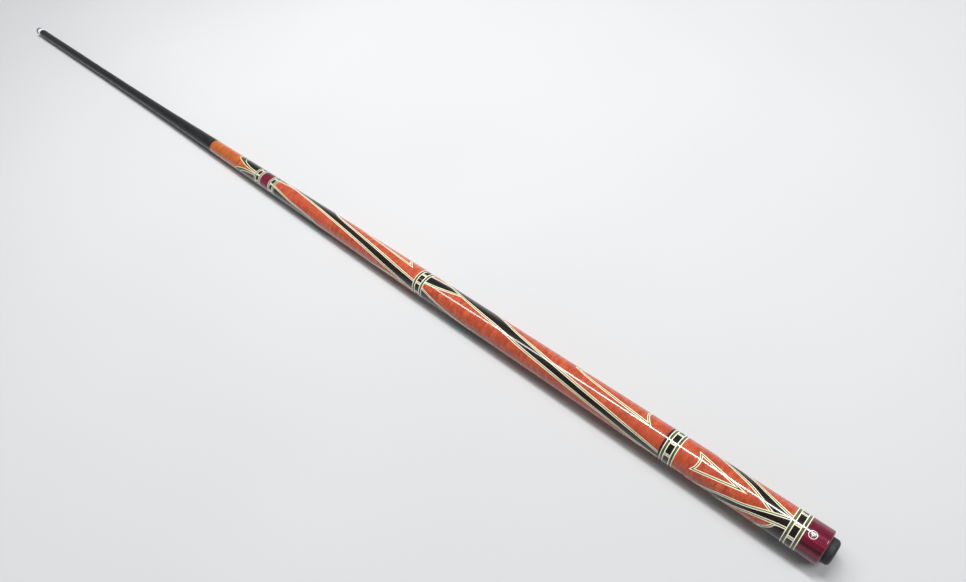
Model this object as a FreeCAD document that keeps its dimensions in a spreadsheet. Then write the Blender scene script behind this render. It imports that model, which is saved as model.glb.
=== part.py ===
import FreeCAD, Part
import math
import os
import Sketcher

# A two-piece pool cue with a wooden butt, a carbon fibre shaft and a threaded
# joint between them. The axis is +X, from the rubber bumper at the butt end,
# where the origin is, to the leather tip. +Z is up. Sizes are in millimetres
# and angles go round the axis from +Y towards +Z, in degrees.

SIZES = {
    # Where each piece starts, measured along the axis from the bumper's face.
    "cap_start": 6.6,
    "ring_five_start": 24.0,
    "sleeve_start": 35.5,
    "ring_four_start": 130.5,
    "dark_ring_start": 142.5,
    "handle_start": 144.5,
    "ring_three_start": 434.5,
    "forearm_start": 448.5,
    "ring_two_start": 709.5,
    "collar_start": 722.5,
    "joint_face": 740.0,
    "base_start": 753.5,
    "dark_trim_start": 863.0,
    "tube_start": 865.5,
    "ferrule_start": 1456.0,
    "tip_start": 1466.0,
    "tip_top": 1473.0,
    # The outline: a radius at each place where the taper changes.
    "cap_radius": 15.0,
    "handle_radius": 14.6,
    "wrist_start": 300.0,
    "wrist_radius": 14.2,
    "forearm_radius": 13.8,
    "forearm_middle": 600.0,
    "forearm_middle_radius": 12.5,
    "joint_radius": 10.8,
    "tube_radius": 9.2,
    "taper_middle": 1000.0,
    "taper_middle_radius": 7.2,
    "taper_end": 1120.0,
    "taper_end_radius": 6.4,
    "straight_start": 1220.0,
    "tip_radius": 6.2,
    # A decorative ring's layers, as shares of its length.
    "edge_disc_share": 0.06,
    "band_share": 0.17,
    "block_disc_share": 0.065,
    "block_angle": 34.5,
    "bar_angle": 10.5,
    # Inside the butt.
    "core_radius": 8.0,
    "bolt_channel_radius": 4.83,
    "bolt_channel_end": 128.0,
    "pin_radius": 3.97,
    "pin_start": 690.0,
    "pin_end": 766.0,
    "pin_nose_radius": 3.1,
    "pin_nose_length": 3.0,
    # The bumper and the weight bolt.
    "bumper_radius": 10.7,
    "bumper_edge": 2.0,
    "bumper_plug_radius": 7.9,
    "bumper_plug_end": 21.0,
    "cap_edge": 1.8,
    "bolt_start": 60.0,
    "bolt_end": 112.0,
    "bolt_radius": 4.76,
    "bolt_groove_start": 98.0,
    "bolt_groove_end": 106.0,
    "bolt_groove_radius": 3.4,
    "lock_ring_bore": 3.46,
    "lock_ring_gap": 0.1,
    "hex_across": 5.0,
    "hex_depth": 12.0,
    # Inside the shaft.
    "insert_start": 741.0,
    "insert_end": 772.0,
    "insert_bore": 4.04,
    "insert_radius": 5.6,
    "insert_pocket_radius": 5.66,
    "insert_pocket_end": 772.6,
    "shaft_core_radius": 6.8,
    "shaft_tenon_radius": 5.0,
    "shaft_tenon_end": 930.0,
    "tube_wall": 1.3,
    "plug_start": 1440.0,
    "ferrule_tenon_radius": 3.6,
    "ferrule_tenon_end": 1464.0,
    "tip_dome_radius": 10.6,
    # Inlays. Where several meet, each is cut one step deeper than the last.
    "inlay_depth": 2.2,
    "veneer_depth": 2.5,
    "depth_step": 0.05,
    "veneer_width": 2.2,
    "emblem_at": 18.5,
    "emblem_angle": 85.0,
    "emblem_radius": 3.3,
    "emblem_depth": 0.8,
}

# The outline's corners, in order: where each is, and its radius there.
OUTLINE = [
    ("cap_start", "cap_radius"),
    ("ring_five_start", "cap_radius"),
    ("handle_start", "handle_radius"),
    ("wrist_start", "wrist_radius"),
    ("forearm_start", "forearm_radius"),
    ("forearm_middle", "forearm_middle_radius"),
    ("joint_face", "joint_radius"),
    ("tube_start", "tube_radius"),
    ("taper_middle", "taper_middle_radius"),
    ("taper_end", "taper_end_radius"),
    ("straight_start", "tip_radius"),
    ("tip_start", "tip_radius"),
]

# The inlays' edges are smooth lines on the turned surface. Each point is its
# distance from the section's rear end and its angle round the axis.
SLEEVE_MIRROR = 78.5
SLEEVE_BAND_LOW = [
    (-2, 58.5), (9.5, 50), (24.5, 35), (34.5, 22), (44.5, 8), (57, -12), (62, -22),
]
SLEEVE_BAND_HIGH = [
    (-2, 91), (16.5, 72), (24.5, 60), (34.5, 47), (44.5, 37), (54.5, 25), (66, 8), (77, -12), (82, -22),
]
SLEEVE_ARROW_LIMB = [(40, 78.5), (78.7, 49.3)]
SLEEVE_ARROW_BASE = [(78.7, 49.3), (77, 62), (76.3, 78.5)]
# The scallop's points have half of its width in place of the angle.
SLEEVE_SCALLOP = [(-2, 70), (7.5, 61.5), (10, 46.5), (14, 29.5), (18, 14.5), (20.5, 1.5)]
SLEEVE_SCALLOP_CENTRE = -11.5

HANDLE_BAND_LOW = [
    (-2, 1), (25.5, 12), (55.5, 28), (105.5, 50), (155.5, 71), (185.5, 88), (215.5, 102),
    (245.5, 120), (264.5, 140), (292, 167),
]
HANDLE_BAND_HIGH = [
    (-2, 27), (15.5, 38), (55.5, 57), (95.5, 75), (125.5, 90), (155.5, 106), (175.5, 120),
    (195.5, 145), (215.5, 172), (235.5, 187), (255.5, 198), (275.5, 215), (292, 232),
]
HANDLE_CROSSING_LOW = [(240, 126), (255.5, 107), (275.5, 88), (292, 78)]
HANDLE_CROSSING_HIGH = [(240, 131), (255.5, 137), (275.5, 131), (292, 123)]
HANDLE_CROSSING_EDGE = [(262, 138), (275.5, 131), (292, 123)]
HANDLE_ARROW_LIMB = [(17, 95), (35.5, 101), (55.5, 108), (75.5, 116), (90, 125), (100, 138)]
HANDLE_ARROW_BASE = [(17, 95), (20, 108), (22.5, 122), (23.5, 138)]
HANDLE_ARROW_CENTRE = 138

FOREARM_BAND_LOW = [
    (-2, 12), (31.5, 33), (51.5, 44), (91.5, 66), (131.5, 84), (151.5, 93), (191.5, 112),
    (221.5, 127), (263, 152),
]
FOREARM_BAND_HIGH = [
    (-2, 58), (31.5, 72), (71.5, 91), (111.5, 109), (136.5, 123), (151.5, 142), (171.5, 188),
    (191.5, 207), (221.5, 218), (251.5, 239), (263, 248),
]
FOREARM_CROSSING_LOW = [(230, 136), (250, 125), (263, 115)]
FOREARM_CROSSING_HIGH = [(230, 139), (250, 145), (263, 152)]
FOREARM_ARROW_LIMB = [(15, 112), (41.5, 120), (61.5, 128), (90, 140), (105, 155)]
FOREARM_ARROW_BASE = [(15, 112), (18, 122), (21, 134), (23, 155)]
FOREARM_ARROW_CENTRE = 155

# The shaft base's points are symmetric, so theirs have half of the width too.
BASE_POINT_HALF = [(-2, 48), (6.5, 46), (16.5, 41), (26.5, 30), (31.5, 18), (34, 2)]
BASE_VENEER_HALF = [(-2, 59.5), (16.5, 54), (26.5, 47), (36.5, 35), (43.5, 22), (46.5, 2)]
BASE_POINT_CENTRE = 7

# The inlay cutters have flat faces: straight pieces along a line, cross
# sections along a band, steps round a band, and how far they stand out. A
# piece of an inlay that is smaller than a sliver, in mm3, is left out.
LINE_STEPS = 60
STATION_SPACING = 15.0
SECTOR_STEPS = 4
CUTTER_STAND = 1.5
SLIVER_VOLUME = 1.0

X_DIRECTION = FreeCAD.Vector(1, 0, 0)
ORIGIN = FreeCAD.Vector(0, 0, 0)

doc = FreeCAD.newDocument("pool_cue")
sheet = doc.addObject("Spreadsheet::Sheet", "Sizes")
for row, (alias, value) in enumerate(SIZES.items(), start=1):
    sheet.set(f"A{row}", alias)
    sheet.set(f"B{row}", str(value))
    sheet.setAlias(f"B{row}", alias)
doc.recompute()

sub_parts = []


def size(alias):
    """A cell's value."""
    return float(sheet.get(alias))


def cell(alias):
    """A cell as an expression."""
    return f"Sizes.{alias}"


def evaluate(expression):
    """The number that an expression of cells comes to."""
    return float(sheet.evalExpression(expression))


def outline_radius(place):
    """The cue's outer radius at a place on the axis, both as expressions."""
    position = evaluate(place)
    for (start, start_radius), (end, end_radius) in zip(OUTLINE, OUTLINE[1:]):
        if position <= size(end) + 1e-6:
            run = f"({cell(end_radius)} - {cell(start_radius)}) / ({cell(end)} - {cell(start)})"
            return f"{cell(start_radius)} + ({place} - {cell(start)}) * {run}"
    raise ValueError(f"{place} is past the end of the outline")


def outline_points(start, end, inset=None, lengths=1):
    """The outline from start to end as (place, radius) expressions.

    It can be divided into a number of equal lengths.
    """
    corners = [cell(alias) for alias, _ in OUTLINE]
    corners += [f"{start} + ({end} - {start}) * {n} / {lengths}" for n in range(1, lengths)]
    corners.sort(key=evaluate)
    between = [c for c in corners if evaluate(start) + 1e-6 < evaluate(c) < evaluate(end) - 1e-6]
    points = []
    for place in [start, *between, end]:
        radius = outline_radius(place)
        if inset:
            radius = f"{radius} - {inset}"
        points.append((place, radius))
    return points


def add_profile(sketch, points):
    """A closed outline in a sketch, each corner held at its expressions."""
    first = sketch.GeometryCount
    count = len(points)
    corners = []
    for place, radius in points:
        height = evaluate(radius) if radius else 0
        corners.append(FreeCAD.Vector(evaluate(place), height, 0))
    for index in range(count):
        line = Part.LineSegment(corners[index], corners[(index + 1) % count])
        sketch.addGeometry(line, False)
    for index in range(count):
        following = first + (index + 1) % count
        sketch.addConstraint(Sketcher.Constraint("Coincident", first + index, 2, following, 1))
    for index, (place, radius) in enumerate(points):
        corner = corners[index]
        hold(sketch, "DistanceX", first + index, corner.x, place)
        hold(sketch, "DistanceY", first + index, corner.y, radius)


def hold(sketch, kind, line, value, expression):
    """Hold a line's start by an expression, or on the sketch's axis at zero."""
    if abs(value) < 1e-9:
        axis = -2 if kind == "DistanceX" else -1
        sketch.addConstraint(Sketcher.Constraint("PointOnObject", line, 1, axis))
        return
    number = sketch.addConstraint(Sketcher.Constraint(kind, -1, 1, line, 1, value))
    sketch.setExpression(f"Constraints[{number}]", expression)


def origin_feature(body, role):
    """A plane or an axis of a body's own origin."""
    return next(f for f in body.Origin.OriginFeatures if f.Role == role)


def turned(label, profiles, angle=None, copies=1, phase=0.0):
    """A body turned about the axis from one or more closed profiles.

    With an angle it is a sector, centred on the phase and repeated evenly.
    """
    body = doc.addObject("PartDesign::Body", label)
    body.Label = label
    sketch = body.newObject("Sketcher::SketchObject", f"{label}_sketch")
    sketch.AttachmentSupport = [(origin_feature(body, "XY_Plane"), "")]
    sketch.MapMode = "FlatFace"
    for points in profiles:
        add_profile(sketch, points)
    doc.recompute()
    revolution = body.newObject("PartDesign::Revolution", f"{label}_turned")
    revolution.Profile = sketch
    revolution.ReferenceAxis = (sketch, ["H_Axis"])
    revolution.Angle = 360
    if angle:
        revolution.Midplane = True
        revolution.setExpression("Angle", cell(angle))
    sketch.Visibility = False
    if copies > 1:
        pattern = body.newObject("PartDesign::PolarPattern", f"{label}_pattern")
        pattern.Originals = [revolution]
        pattern.Axis = (origin_feature(body, "X_Axis"), [""])
        pattern.Angle = 360
        pattern.Occurrences = copies
        body.Tip = pattern
    body.Placement = FreeCAD.Placement(ORIGIN, FreeCAD.Rotation(X_DIRECTION, phase))
    doc.recompute()
    return body


def round_edge(body, place, radius, rounding):
    """Round the circular edge of a turned body at a place and radius."""
    sharp = body.Tip
    for number, edge in enumerate(body.Shape.Edges, start=1):
        if not isinstance(edge.Curve, Part.Circle):
            continue
        same_place = abs(edge.Curve.Center.x - evaluate(place)) < 1e-4
        if same_place and abs(edge.Curve.Radius - size(radius)) < 1e-4:
            fillet = body.newObject("PartDesign::Fillet", f"{body.Label}_fillet")
            fillet.Base = (sharp, [f"Edge{number}"])
            fillet.Radius = size(rounding)
            fillet.setExpression("Radius", cell(rounding))
            body.Tip = fillet
            doc.recompute()
            return
    raise ValueError(f"{body.Label} has no such edge")


def keep(item):
    """List an object as one of the cue's sub-parts."""
    sub_parts.append(item)
    return item


def boolean(kind, label, base, tool):
    """A cut or a common of two objects."""
    item = doc.addObject(f"Part::{kind}", label)
    item.Label = label
    item.Base = base
    item.Tool = tool
    doc.recompute()
    return item


def outer_shell(start, end, bore, lengths=1):
    """The profile between the cue's outline and a straight bore."""
    return [*outline_points(start, end, lengths=lengths), (end, bore), (start, bore)]


# Decorative rings ---------------------------------------------------------


def decorative_ring(name, start, end, bore, phase):
    """A ring stack: pale discs, green bands, and ebony blocks between bars."""
    length = f"({end} - {start})"
    edge = f"{length} * {cell('edge_disc_share')}"
    band = f"{length} * {cell('band_share')}"
    disc = f"{length} * {cell('block_disc_share')}"
    steps = [start]
    for layer in (edge, band, disc):
        steps.append(f"{steps[-1]} + {layer}")
    returns = [end]
    for layer in (edge, band, disc):
        returns.append(f"{returns[-1]} - {layer}")
    steps.extend(reversed(returns))
    layers = [outer_shell(a, b, bore) for a, b in zip(steps, steps[1:])]
    edge_disc, low_band, low_disc, blocks, high_disc, high_band, far_disc = layers
    keep(turned(f"{name}_pale_discs", [edge_disc, low_disc, high_disc, far_disc]))
    keep(turned(f"{name}_green_bands", [low_band, high_band]))
    spacing = 360 / 8
    keep(turned(f"{name}_bars", [blocks], "bar_angle", 8, phase))
    keep(turned(f"{name}_ebony_blocks", [blocks], "block_angle", 8, phase + spacing / 2))


# Butt ---------------------------------------------------------------------

core = cell("core_radius")

bumper = turned("rubber_bumper", [[
    ("0", None),
    ("0", cell("bumper_radius")),
    (cell("cap_start"), cell("bumper_radius")),
    (cell("cap_start"), cell("bumper_plug_radius")),
    (cell("bumper_plug_end"), cell("bumper_plug_radius")),
    (cell("bumper_plug_end"), None),
]])
round_edge(bumper, "0", "bumper_radius", "bumper_edge")
keep(bumper)

cap_blank = turned("cap_blank", [outer_shell(cell("cap_start"), cell("ring_five_start"), core)])
round_edge(cap_blank, cell("cap_start"), "cap_radius", "cap_edge")

emblem_cutter = doc.addObject("Part::Cylinder", "emblem_cutter")
emblem_cutter.Height = 5
emblem_cutter.setExpression("Radius", cell("emblem_radius"))
emblem_direction = FreeCAD.Vector(
    0,
    math.cos(math.radians(size("emblem_angle"))),
    math.sin(math.radians(size("emblem_angle"))),
)
emblem_floor = emblem_direction * (size("cap_radius") - size("emblem_depth"))
emblem_cutter.Placement = FreeCAD.Placement(
    FreeCAD.Vector(size("emblem_at"), 0, 0) + emblem_floor,
    FreeCAD.Rotation(FreeCAD.Vector(0, 0, 1), emblem_direction),
)
doc.recompute()
keep(boolean("Cut", "butt_cap", cap_blank, emblem_cutter))
keep(boolean("Common", "cap_emblem", cap_blank, emblem_cutter))

decorative_ring("ring_five", cell("ring_five_start"), cell("sleeve_start"), core, 40.0)
sleeve_blank = turned("sleeve_blank", [outer_shell(cell("sleeve_start"), cell("ring_four_start"), core, 3)])
decorative_ring("ring_four", cell("ring_four_start"), cell("dark_ring_start"), core, 40.0)
keep(turned("handle_dark_ring", [outer_shell(cell("dark_ring_start"), cell("handle_start"), core)]))
handle_blank = turned("handle_blank", [outer_shell(cell("handle_start"), cell("ring_three_start"), core, 9)])
decorative_ring("ring_three", cell("ring_three_start"), cell("forearm_start"), core, 17.0)
forearm_blank = turned("forearm_blank", [outer_shell(cell("forearm_start"), cell("ring_two_start"), core, 8)])
decorative_ring("ring_two", cell("ring_two_start"), cell("collar_start"), core, 23.0)
keep(turned("joint_collar", [outer_shell(cell("collar_start"), cell("joint_face"), core)]))

keep(turned("core_dowel", [[
    (cell("ring_five_start"), core),
    (cell("joint_face"), core),
    (cell("joint_face"), cell("pin_radius")),
    (cell("pin_start"), cell("pin_radius")),
    (cell("pin_start"), None),
    (cell("bolt_channel_end"), None),
    (cell("bolt_channel_end"), cell("bolt_channel_radius")),
    (cell("ring_five_start"), cell("bolt_channel_radius")),
]]))

nose_start = f"{cell('pin_end')} - {cell('pin_nose_length')}"
keep(turned("joint_pin", [[
    (cell("pin_start"), None),
    (cell("pin_start"), cell("pin_radius")),
    (nose_start, cell("pin_radius")),
    (cell("pin_end"), cell("pin_nose_radius")),
    (cell("pin_end"), None),
]]))

weight_blank = turned("weight_blank", [[
    (cell("bolt_start"), None),
    (cell("bolt_start"), cell("bolt_radius")),
    (cell("bolt_groove_start"), cell("bolt_radius")),
    (cell("bolt_groove_start"), cell("bolt_groove_radius")),
    (cell("bolt_groove_end"), cell("bolt_groove_radius")),
    (cell("bolt_groove_end"), cell("bolt_radius")),
    (cell("bolt_end"), cell("bolt_radius")),
    (cell("bolt_end"), None),
]])
hex_socket = doc.addObject("Part::Prism", "hex_socket")
hex_socket.Polygon = 6
hex_socket.setExpression("Circumradius", f"{cell('hex_across')} / sqrt(3)")
hex_socket.setExpression("Height", cell("hex_depth"))
hex_socket.Placement = FreeCAD.Placement(
    FreeCAD.Vector(size("bolt_start"), 0, 0),
    FreeCAD.Rotation(FreeCAD.Vector(0, 0, 1), X_DIRECTION),
)
doc.recompute()
keep(boolean("Cut", "weight_bolt", weight_blank, hex_socket))

ring_low = f"{cell('bolt_groove_start')} + {cell('lock_ring_gap')}"
ring_high = f"{cell('bolt_groove_end')} - {cell('lock_ring_gap')}"
keep(turned("weight_bolt_lock_ring", [[
    (ring_low, cell("lock_ring_bore")),
    (ring_low, cell("bolt_radius")),
    (ring_high, cell("bolt_radius")),
    (ring_high, cell("lock_ring_bore")),
]]))

# Shaft --------------------------------------------------------------------

shaft_core = cell("shaft_core_radius")

keep(turned("joint_insert", [[
    (cell("insert_start"), cell("insert_bore")),
    (cell("insert_start"), cell("insert_radius")),
    (cell("insert_end"), cell("insert_radius")),
    (cell("insert_end"), cell("insert_bore")),
]]))
keep(turned("shaft_core", [[
    (cell("joint_face"), cell("insert_pocket_radius")),
    (cell("joint_face"), shaft_core),
    (cell("tube_start"), shaft_core),
    (cell("tube_start"), cell("shaft_tenon_radius")),
    (cell("shaft_tenon_end"), cell("shaft_tenon_radius")),
    (cell("shaft_tenon_end"), None),
    (cell("insert_pocket_end"), None),
    (cell("insert_pocket_end"), cell("insert_pocket_radius")),
]]))
decorative_ring("ring_one", cell("joint_face"), cell("base_start"), shaft_core, 27.0)
base_blank = turned("base_blank", [outer_shell(cell("base_start"), cell("dark_trim_start"), shaft_core, 3)])
keep(turned("shaft_dark_trim", [outer_shell(cell("dark_trim_start"), cell("tube_start"), shaft_core)]))

tube_outside = outline_points(cell("tube_start"), cell("ferrule_start"))
tube_inside = outline_points(cell("tube_start"), cell("ferrule_start"), cell("tube_wall"))
keep(turned("carbon_tube", [[*tube_outside, *reversed(tube_inside)]]))
foam_outside = outline_points(cell("tube_start"), cell("plug_start"), cell("tube_wall"))
keep(turned("foam_core", [[
    *foam_outside,
    (cell("plug_start"), None),
    (cell("shaft_tenon_end"), None),
    (cell("shaft_tenon_end"), cell("shaft_tenon_radius")),
    (cell("tube_start"), cell("shaft_tenon_radius")),
]]))
plug_radius = f"{cell('tip_radius')} - {cell('tube_wall')}"
keep(turned("ferrule_tenon", [[
    (cell("plug_start"), None),
    (cell("plug_start"), plug_radius),
    (cell("ferrule_start"), plug_radius),
    (cell("ferrule_start"), cell("ferrule_tenon_radius")),
    (cell("ferrule_tenon_end"), cell("ferrule_tenon_radius")),
    (cell("ferrule_tenon_end"), None),
]]))
keep(turned("ferrule", [[
    (cell("ferrule_start"), cell("ferrule_tenon_radius")),
    (cell("ferrule_start"), cell("tip_radius")),
    (cell("tip_start"), cell("tip_radius")),
    (cell("tip_start"), None),
    (cell("ferrule_tenon_end"), None),
    (cell("ferrule_tenon_end"), cell("ferrule_tenon_radius")),
]]))

tip_blank = turned("tip_blank", [[
    (cell("tip_start"), None),
    (cell("tip_start"), cell("tip_radius")),
    (cell("tip_top"), cell("tip_radius")),
    (cell("tip_top"), None),
]])
tip_dome = doc.addObject("Part::Sphere", "tip_dome")
tip_dome.setExpression("Radius", cell("tip_dome_radius"))
tip_dome.Placement = FreeCAD.Placement(
    FreeCAD.Vector(size("tip_top") - size("tip_dome_radius"), 0, 0),
    FreeCAD.Rotation(),
)
doc.recompute()
keep(boolean("Common", "leather_tip", tip_blank, tip_dome))

# Inlays -------------------------------------------------------------------


def surface_point(place, angle, radius):
    """A point at a place on the axis, an angle round it and a radius."""
    turn = math.radians(angle)
    return FreeCAD.Vector(place, radius * math.cos(turn), radius * math.sin(turn))


def turned_radius(place):
    """The cue's outer radius, as a number, at a place on the axis."""
    for (start, start_radius), (end, end_radius) in zip(OUTLINE, OUTLINE[1:]):
        if place <= size(end):
            share = (place - size(start)) / (size(end) - size(start))
            return size(start_radius) + share * (size(end_radius) - size(start_radius))
    return size(end_radius)


def smooth_line(points, steps):
    """Evenly spaced points on the smooth line through a few given ones."""
    if len(points) == 2:
        curve = Part.LineSegment(FreeCAD.Vector(*points[0], 0), FreeCAD.Vector(*points[1], 0)).toShape()
    else:
        spline = Part.BSplineCurve()
        spline.interpolate([FreeCAD.Vector(place, angle, 0) for place, angle in points])
        curve = spline.toShape()
    return [(point.x, point.y) for point in curve.discretize(steps + 1)]


def angle_at(line, place):
    """The angle of a smooth line of points at a place along the axis."""
    for (start, start_angle), (end, end_angle) in zip(line, line[1:]):
        if place <= end:
            return start_angle + (place - start) / (end - start) * (end_angle - start_angle)
    return line[-1][1]


def sector_section(place, low, high, inner, outer):
    """A ring sector's corners across the axis, between angles and radii."""
    steps = SECTOR_STEPS
    angles = [low + (high - low) * step / steps for step in range(steps + 1)]
    far = outer / math.cos(math.radians(high - low) / (2 * steps))
    near_side = [surface_point(place, angle, inner) for angle in angles]
    far_side = [surface_point(place, angle, far) for angle in reversed(angles)]
    return near_side + far_side


def faceted(sections):
    """A solid with flat faces through sections that have equal numbers of corners."""
    faces = []
    for section in (sections[0], sections[-1]):
        faces.append(Part.Face(Part.makePolygon([*section, section[0]])))
    for near, far in zip(sections, sections[1:]):
        for index in range(len(near)):
            following = (index + 1) % len(near)
            rear = near[index]
            front = far[following]
            faces.append(Part.Face(Part.makePolygon([rear, near[following], front, rear])))
            faces.append(Part.Face(Part.makePolygon([rear, front, far[index], rear])))
    solid = Part.Solid(Part.Shell(faces))
    if solid.Volume < 0:
        solid.reverse()
    return solid


def band_cutter(start, low_line, high_line, depth):
    """A cutter for the inlay between two lines that run along the cue."""
    low = smooth_line(low_line, LINE_STEPS)
    high = smooth_line(high_line, LINE_STEPS)
    first = max(low[0][0], high[0][0])
    last = min(low[-1][0], high[-1][0])
    count = max(6, math.ceil((last - first) / STATION_SPACING))
    sections = []
    for index in range(count + 1):
        offset = first + (last - first) * index / count
        radius = turned_radius(start + offset)
        sections.append(sector_section(
            start + offset, angle_at(low, offset), angle_at(high, offset),
            radius - depth, radius + CUTTER_STAND,
        ))
    return faceted(sections)


def flat(start, point):
    """A line's point on the unrolled surface, in millimetres both ways."""
    offset, angle = point
    return offset, math.radians(angle) * turned_radius(start + offset)


def veneer_cutter(start, points, steps=0):
    """A cutter for a strip of veneer of constant width along a line.

    It is cut a number of depth steps below the others.
    """
    depth = size("veneer_depth") + steps * size("depth_step")
    length = sum(math.dist(flat(start, a), flat(start, b)) for a, b in zip(points, points[1:]))
    line = smooth_line(points, max(4, math.ceil(length / STATION_SPACING)))
    half = size("veneer_width") / 2
    sections = []
    for index, (offset, angle) in enumerate(line):
        before = flat(start, line[max(index - 1, 0)])
        after = flat(start, line[min(index + 1, len(line) - 1)])
        along = FreeCAD.Vector(after[0] - before[0], after[1] - before[1], 0).normalize()
        outward = surface_point(0, angle, 1)
        around = surface_point(0, angle + 90, 1)
        side = around * along.x - X_DIRECTION * along.y
        centre = surface_point(start + offset, angle, turned_radius(start + offset))
        bottom = centre - outward * depth
        top = centre + outward * CUTTER_STAND
        sections.append([bottom - side * half, bottom + side * half, top + side * half, top - side * half])
    return faceted(sections)


def mirrored(points, centre):
    """A line reflected about an angle."""
    return [(offset, 2 * centre - angle) for offset, angle in points]


def repeated(shape, copies):
    """A shape and its copies, evenly round the axis."""
    turned_copies = []
    for index in range(copies):
        copy = shape.copy()
        copy.rotate(ORIGIN, X_DIRECTION, 360 / copies * index)
        turned_copies.append(copy)
    return turned_copies


def join(shapes):
    """Several cutters as one."""
    if len(shapes) == 1:
        return shapes[0]
    return shapes[0].fuse(shapes[1:])


def without_slivers(shape):
    """The solids of a shape that are large enough to cut."""
    return Part.makeCompound([solid for solid in shape.Solids if solid.Volume > SLIVER_VOLUME])


def lay_in(label, blank, layers):
    """Cut a section for its inlays and make the ebony and veneer pieces.

    Each layer is an ebony cutter, the veneer cutters on it, and how many copies
    go round the cue. A layer hides whatever veneers later ones put under it.
    """
    ebony_cutters = []
    veneer_cutters = []
    covering = []
    for ebony, veneers, copies in layers:
        ebony_here = repeated(ebony, copies)
        veneers_here = [copy for veneer in veneers for copy in repeated(veneer, copies)]
        if covering:
            cover = Part.makeCompound(covering)
            veneers_here = [veneer.cut(cover) for veneer in veneers_here]
        veneer_cutters.extend(veneers_here)
        ebony_cutters.extend(ebony_here)
        covering.extend(ebony_here)
    veneer_shape = without_slivers(join(veneer_cutters))
    ebony_shape = without_slivers(join(ebony_cutters).cut(veneer_shape))
    veneer_tool = doc.addObject("Part::Feature", f"{label}_veneer_cutter")
    veneer_tool.Shape = veneer_shape
    ebony_tool = doc.addObject("Part::Feature", f"{label}_ebony_cutter")
    ebony_tool.Shape = ebony_shape
    keep(boolean("Common", f"{label}_veneers", blank, veneer_tool))
    keep(boolean("Common", f"{label}_ebony", blank, ebony_tool))
    pocketed = boolean("Cut", f"{label}_pocketed", blank, veneer_tool)
    keep(boolean("Cut", label, pocketed, ebony_tool))


def arrow_cutters(start, limb, base, centre):
    """The cutters for an arrowhead of veneer that is symmetric about an angle."""
    across = base + mirrored(base, centre)[-2::-1]
    return [
        veneer_cutter(start, limb),
        veneer_cutter(start, mirrored(limb, centre), 2),
        veneer_cutter(start, across, 3),
    ]


def point_cutter(half_line, depth):
    """A cutter for a point on the shaft base."""
    low = [(offset, BASE_POINT_CENTRE - half) for offset, half in half_line]
    high = [(offset, BASE_POINT_CENTRE + half) for offset, half in half_line]
    return band_cutter(size("base_start"), low, high, depth)


inlay_depth = size("inlay_depth")
crossing_depth = inlay_depth + size("depth_step")
scallop_depth = crossing_depth + size("depth_step")

sleeve_start = size("sleeve_start")
sleeve_crossing_low = mirrored(SLEEVE_BAND_HIGH, SLEEVE_MIRROR)
sleeve_crossing_high = mirrored(SLEEVE_BAND_LOW, SLEEVE_MIRROR)
scallop_low = [(offset, SLEEVE_SCALLOP_CENTRE - half) for offset, half in SLEEVE_SCALLOP]
scallop_high = [(offset, SLEEVE_SCALLOP_CENTRE + half) for offset, half in SLEEVE_SCALLOP]
scallop_edge = [*scallop_high[1:], *reversed(scallop_low[1:])]
lay_in("butt_sleeve", sleeve_blank, [
    (band_cutter(sleeve_start, SLEEVE_BAND_LOW, SLEEVE_BAND_HIGH, inlay_depth), [
        veneer_cutter(sleeve_start, SLEEVE_BAND_LOW),
        veneer_cutter(sleeve_start, SLEEVE_BAND_HIGH),
    ], 2),
    (band_cutter(sleeve_start, sleeve_crossing_low, sleeve_crossing_high, crossing_depth), [
        veneer_cutter(sleeve_start, sleeve_crossing_low, 1),
        veneer_cutter(sleeve_start, sleeve_crossing_high, 1),
        *arrow_cutters(sleeve_start, SLEEVE_ARROW_LIMB, SLEEVE_ARROW_BASE, SLEEVE_MIRROR),
    ], 2),
    (band_cutter(sleeve_start, scallop_low, scallop_high, scallop_depth), [
        veneer_cutter(sleeve_start, scallop_edge, 4),
    ], 1),
])

handle_start = size("handle_start")
lay_in("handle", handle_blank, [
    (band_cutter(handle_start, HANDLE_BAND_LOW, HANDLE_BAND_HIGH, inlay_depth), [
        veneer_cutter(handle_start, HANDLE_BAND_LOW),
        veneer_cutter(handle_start, HANDLE_BAND_HIGH),
        *arrow_cutters(handle_start, HANDLE_ARROW_LIMB, HANDLE_ARROW_BASE, HANDLE_ARROW_CENTRE),
    ], 2),
    (band_cutter(handle_start, HANDLE_CROSSING_LOW, HANDLE_CROSSING_HIGH, crossing_depth), [
        veneer_cutter(handle_start, HANDLE_CROSSING_LOW, 1),
        veneer_cutter(handle_start, HANDLE_CROSSING_EDGE, 2),
    ], 2),
])

forearm_start = size("forearm_start")
lay_in("forearm", forearm_blank, [
    (band_cutter(forearm_start, FOREARM_BAND_LOW, FOREARM_BAND_HIGH, inlay_depth), [
        veneer_cutter(forearm_start, FOREARM_BAND_LOW),
        veneer_cutter(forearm_start, FOREARM_BAND_HIGH),
        *arrow_cutters(forearm_start, FOREARM_ARROW_LIMB, FOREARM_ARROW_BASE, FOREARM_ARROW_CENTRE),
    ], 2),
    (band_cutter(forearm_start, FOREARM_CROSSING_LOW, FOREARM_CROSSING_HIGH, crossing_depth), [
        veneer_cutter(forearm_start, FOREARM_CROSSING_LOW, 1),
    ], 2),
])

point = point_cutter(BASE_POINT_HALF, inlay_depth)
point_clearance = point_cutter(BASE_POINT_HALF, 2 * size("veneer_depth"))
point_veneer = point_cutter(BASE_VENEER_HALF, size("veneer_depth")).cut(point_clearance)
lay_in("shaft_base", base_blank, [(point, [point_veneer], 3)])

# Export -------------------------------------------------------------------


def check_document():
    """Stop if any object failed or any sub-part's shape is unusable."""
    for item in doc.Objects:
        if "Invalid" in item.State or "Error" in item.State:
            raise RuntimeError(f"{item.Label} failed: {item.State}")
    for item in sub_parts:
        if item.Shape.isNull() or not item.Shape.isValid():
            raise RuntimeError(f"{item.Label} has no valid shape")


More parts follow.
